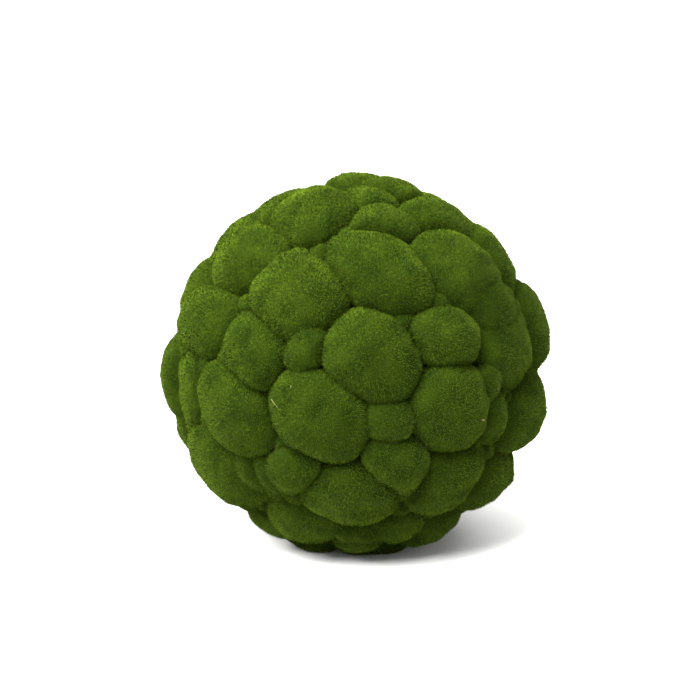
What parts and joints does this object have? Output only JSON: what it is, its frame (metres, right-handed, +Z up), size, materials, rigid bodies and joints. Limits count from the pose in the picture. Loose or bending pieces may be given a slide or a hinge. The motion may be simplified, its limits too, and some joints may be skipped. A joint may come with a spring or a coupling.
{
  "type": "moss ball",
  "caption": "Rounded ball of cushion moss: separate velvety green cushions packed side by side, cut off flat underneath to rest on a surface.",
  "frame": {"origin": "on the flat cut under the ball, straight below the ball's middle", "axes": "+Z is up, away from what the ball rests on; -Y is the side that faces the viewer; +X is to the viewer's right"},
  "size_m": [0.2998, 0.2936, 0.2857],
  "materials": {
    "moss_bright": "soft matt pile of short living shoots, the yellower green",
    "moss_green": "soft matt pile of short living shoots, mid green",
    "moss_deep": "soft matt pile of short living shoots, the darker green"
  },
  "bodies": {
    "root": {"moss_back_01": "moss_bright", "moss_back_02": "moss_green", "moss_back_03": "moss_deep", "moss_back_04": "moss_bright", "moss_back_05": "moss_green", "moss_back_06": "moss_deep", "moss_back_07": "moss_bright", "moss_back_08": "moss_green", "moss_back_09": "moss_deep", "moss_back_10": "moss_bright", "moss_back_11": "moss_green", "moss_back_12": "moss_deep", "moss_back_13": "moss_bright", "moss_back_14": "moss_green", "moss_back_15": "moss_deep", "moss_back_16": "moss_bright", "moss_back_17": "moss_green", "moss_back_18": "moss_deep", "moss_base_1": "moss_green", "moss_base_2": "moss_deep", "moss_base_3": "moss_bright", "moss_base_4": "moss_green", "moss_base_5": "moss_deep", "moss_base_middle": "moss_bright", "moss_belly_left": "moss_green", "moss_belly_right": "moss_deep", "moss_brow_left": "moss_green", "moss_brow_middle": "moss_deep", "moss_brow_right": "moss_bright", "moss_cheek_right": "moss_green", "moss_crown_far": "moss_bright", "moss_crown_near": "moss_deep", "moss_crown_right": "moss_green", "moss_face_left": "moss_green", "moss_face_middle": "moss_deep", "moss_face_right": "moss_bright", "moss_flank_left": "moss_bright", "moss_foot_left": "moss_green", "moss_foot_middle": "moss_bright", "moss_foot_right": "moss_green", "moss_foot_rim_left": "moss_deep", "moss_foot_rim_right": "moss_deep", "moss_low_left": "moss_green", "moss_low_middle": "moss_bright", "moss_low_middle_right": "moss_green", "moss_low_right": "moss_deep", "moss_low_rim_right": "moss_bright", "moss_low_small_left": "moss_deep", "moss_rim_left": "moss_green", "moss_rim_left_high": "moss_bright", "moss_rim_right": "moss_deep", "moss_rim_right_high": "moss_deep", "moss_rim_right_low": "moss_bright", "moss_shoulder_back_left": "moss_bright", "moss_shoulder_left": "moss_green", "moss_shoulder_middle": "moss_deep", "moss_shoulder_right": "moss_bright", "moss_side_left": "moss_bright", "moss_side_right": "moss_green", "moss_strip_left": "moss_deep"}
  },
  "joints": []
}
